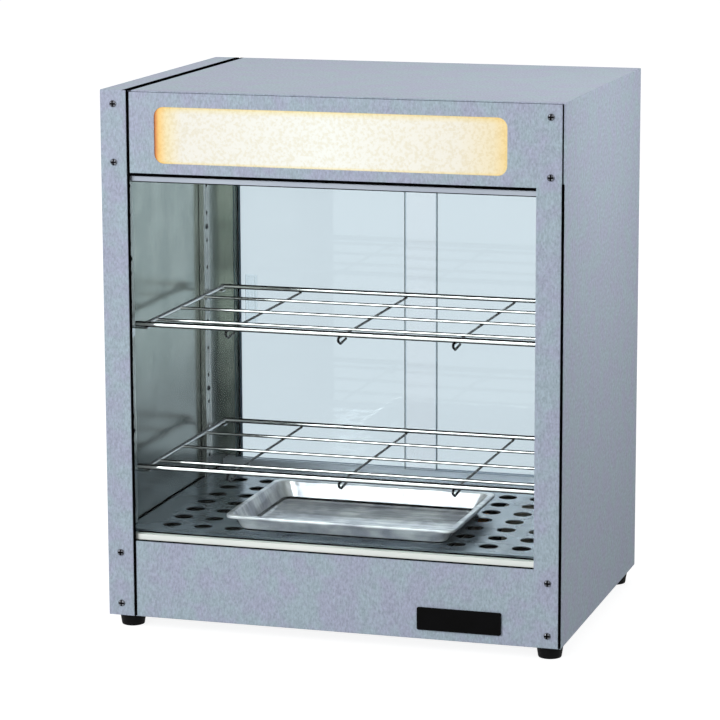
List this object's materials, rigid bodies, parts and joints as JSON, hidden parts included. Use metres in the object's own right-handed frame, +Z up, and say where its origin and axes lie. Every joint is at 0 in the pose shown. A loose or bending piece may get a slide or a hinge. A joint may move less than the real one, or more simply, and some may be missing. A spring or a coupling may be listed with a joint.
{
  "type": "heated display case",
  "caption": "Countertop heated display case: lit sign header, front glass, sliding rear glass doors, wire shelves on punched pilasters, and a loose tray over a vented floor.",
  "frame": {"origin": "on the table, under the middle of the bounding box", "axes": "+Z up, +X to the right seen from the front, the front glass faces -Y"},
  "size_m": [0.48, 0.37, 0.56],
  "materials": {
    "case_steel": "fine brushed stainless sheet",
    "mirror_steel": "bright annealed stainless sheet, nearly mirror",
    "clear_glass": "clear float glass",
    "door_glass": "pale blue tinted glass",
    "channel_aluminium": "satin anodised",
    "black_rubber": "moulded, matt",
    "sign_acrylic": "cast opal acrylic, lit from behind",
    "lamp_glass": "opal glass with metal ends",
    "white_enamel": "white baked paint",
    "pale_ceramic": "unglazed steatite",
    "chrome_wire": "bright chrome plate over welded wire",
    "tray_steel": "bright pressed stainless",
    "pull_acrylic": "clear cast acrylic, polished",
    "black_plastic": "moulded, fine grain",
    "black_gloss": "moulded, polished",
    "heater_sheath": "oxidised sheath",
    "shield_steel": "mill finish",
    "spindle_brass": "turned and drawn",
    "amber_lens": "moulded amber lens"
  },
  "bodies": {
    "case": {"left_side_panel": "case_steel", "outer_cover": "case_steel", "front_frame": "case_steel", "rear_header": "case_steel", "rear_control_panel": "case_steel", "base_plate": "case_steel", "left_inner_wall": "mirror_steel", "right_inner_wall": "mirror_steel", "chamber_ceiling": "mirror_steel", "floor_plate": "mirror_steel", "left_front_pilaster": "mirror_steel", "left_rear_pilaster": "mirror_steel", "right_front_pilaster": "mirror_steel", "right_rear_pilaster": "mirror_steel", "front_glass": "clear_glass", "front_glass_top_channel": "channel_aluminium", "front_glass_bottom_channel": "channel_aluminium", "door_top_track": "channel_aluminium", "door_bottom_track": "channel_aluminium", "front_glass_seal": "black_rubber", "front_left_foot": "black_rubber", "rear_left_foot": "black_rubber", "front_right_foot": "black_rubber", "rear_right_foot": "black_rubber", "cord_gland": "black_rubber", "sign_panel": "sign_acrylic", "sign_lamp": "lamp_glass", "sign_retainer": "white_enamel", "lamp_reflector": "white_enamel", "left_lamp_socket": "pale_ceramic", "right_lamp_socket": "pale_ceramic", "terminal_block": "pale_ceramic", "thermostat_body": "pale_ceramic", "lower_shelf_left_front_clip": "chrome_wire", "lower_shelf_left_rear_clip": "chrome_wire", "lower_shelf_right_front_clip": "chrome_wire", "lower_shelf_right_rear_clip": "chrome_wire", "upper_shelf_left_front_clip": "chrome_wire", "upper_shelf_left_rear_clip": "chrome_wire", "upper_shelf_right_front_clip": "chrome_wire", "upper_shelf_right_rear_clip": "chrome_wire", "power_switch_housing": "black_plastic", "lamp_switch_housing": "black_plastic", "name_plate": "black_gloss", "heater_rod": "heater_sheath", "heat_shield": "shield_steel", "heater_bracket": "shield_steel", "thermostat_bulb": "spindle_brass", "pilot_lamp": "amber_lens"},
    "left_door": {"rear_door_left": "door_glass", "left_door_pull": "pull_acrylic"},
    "right_door": {"rear_door_right": "door_glass", "right_door_pull": "pull_acrylic"},
    "dial": {"thermostat_knob": "black_plastic", "thermostat_shaft": "spindle_brass"},
    "power_rocker": {"power_switch_rocker": "black_gloss"},
    "lamp_rocker": {"lamp_switch_rocker": "black_gloss"},
    "lower_rack": {"lower_shelf": "chrome_wire"},
    "upper_rack": {"upper_shelf": "chrome_wire"},
    "loose_tray": {"tray": "tray_steel"}
  },
  "joints": [
    {"name": "left_door_slide", "type": "slide", "parent": "case", "child": "left_door", "axis": [1, 0, 0], "range_m": [0, 0.198]},
    {"name": "right_door_slide", "type": "slide", "parent": "case", "child": "right_door", "axis": [-1, 0, 0], "range_m": [0, 0.198]},
    {"name": "thermostat_turn", "type": "hinge", "parent": "case", "child": "dial", "pos_m": [0.115, 0.16825, 0.057], "axis": [0, -1, 0], "range_deg": [0, 270]},
    {"name": "power_switch_rock", "type": "hinge", "parent": "case", "child": "power_rocker", "pos_m": [0.04, 0.16755, 0.057], "axis": [-1, 0, 0], "range_deg": [0, 20]},
    {"name": "lamp_switch_rock", "type": "hinge", "parent": "case", "child": "lamp_rocker", "pos_m": [-0.01, 0.16755, 0.057], "axis": [-1, 0, 0], "range_deg": [0, 20]},
    {"name": "lower_shelf_lift", "type": "slide", "parent": "case", "child": "lower_rack", "axis": [0, 0, 1], "range_m": [0, 0.02]},
    {"name": "upper_shelf_lift", "type": "slide", "parent": "case", "child": "upper_rack", "axis": [0, 0, 1], "range_m": [0, 0.02]},
    {"name": "tray_lift", "type": "slide", "parent": "case", "child": "loose_tray", "axis": [0, 0, 1], "range_m": [0, 0.025]}
  ]
}
